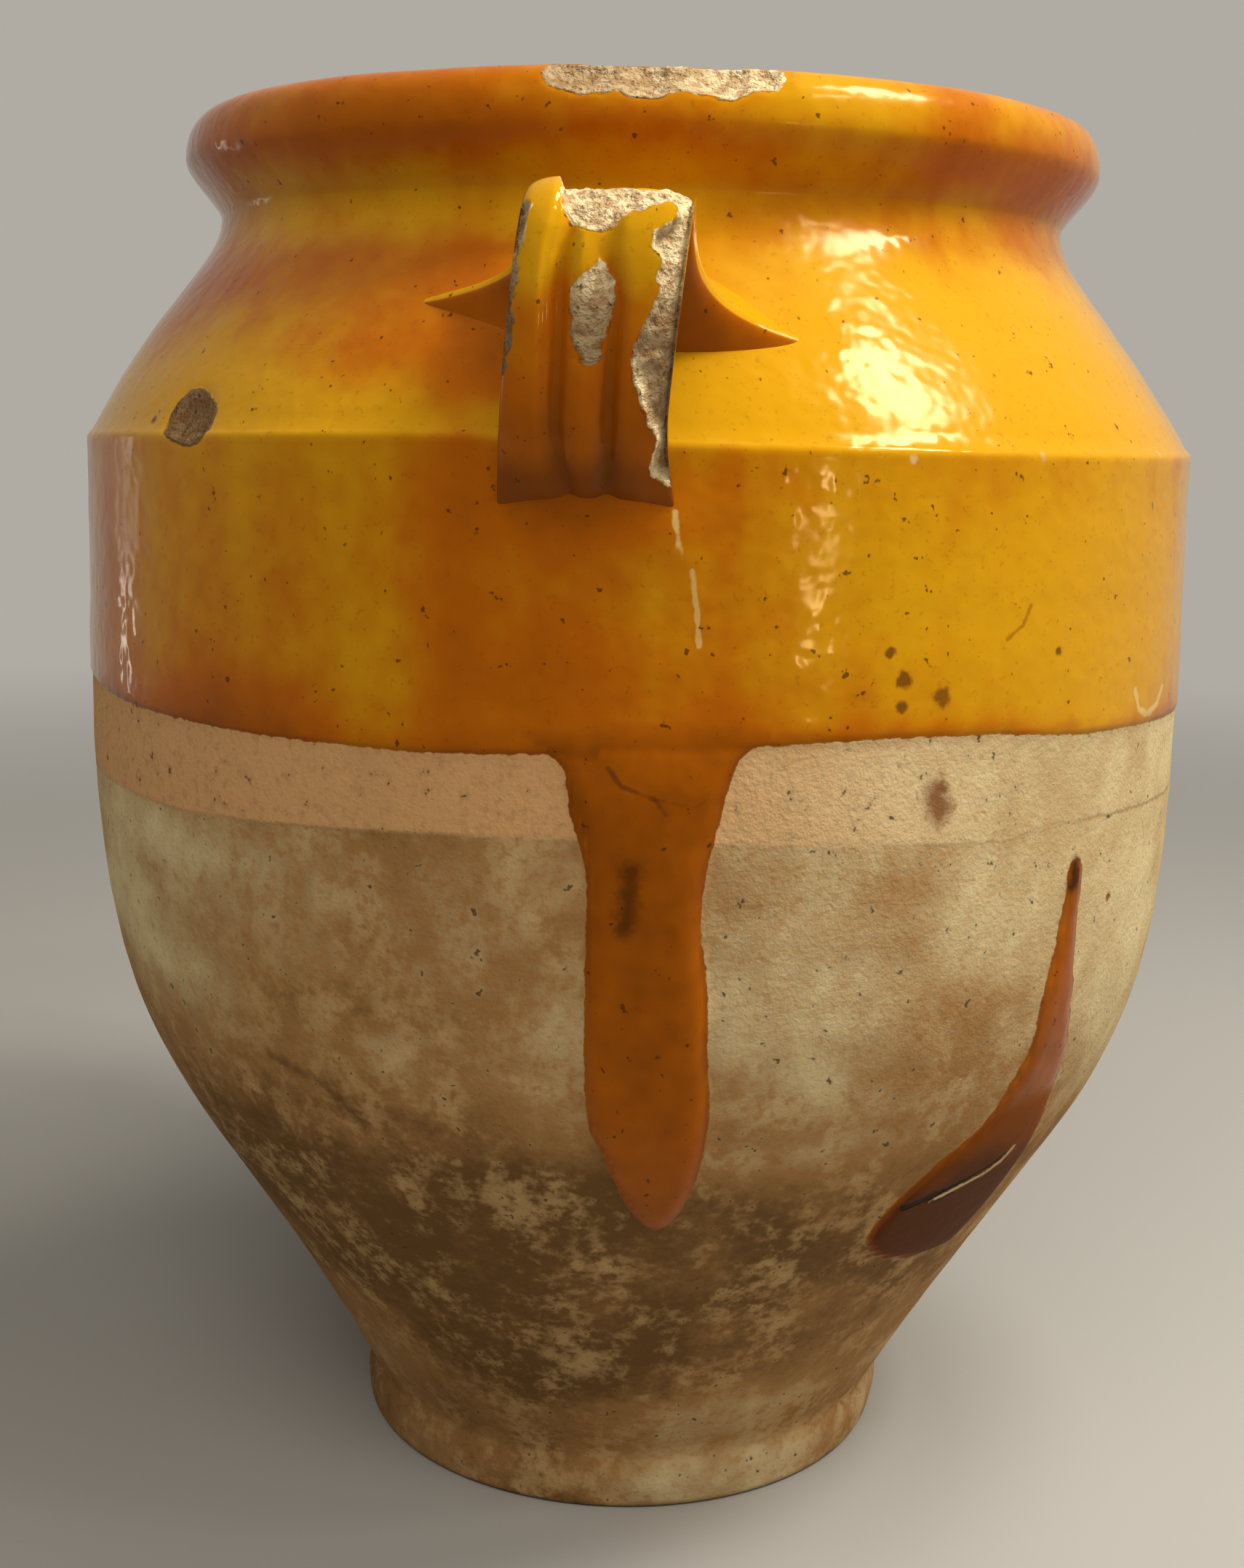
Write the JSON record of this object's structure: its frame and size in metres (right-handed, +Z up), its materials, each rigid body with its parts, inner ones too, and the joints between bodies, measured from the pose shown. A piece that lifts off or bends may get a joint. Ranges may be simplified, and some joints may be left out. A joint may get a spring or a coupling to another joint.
{
  "type": "jam pot",
  "caption": "Earthenware jam pot with ribbed strap handles, an amber-glazed upper wall, bare clay below and a worn, chipped rolled lip.",
  "frame": {"origin": "centre of the flat underside, where the axis of the turned body meets the ground", "axes": "+Z up along the axis of the turned body; the handles lie on the Y axis, and the worn handle faces -Y"},
  "size_m": [0.247, 0.2766, 0.3],
  "materials": {
    "earthenware": "amber gloss glaze above, bare clay below"
  },
  "bodies": {
    "root": {"pot": "earthenware"}
  },
  "joints": []
}
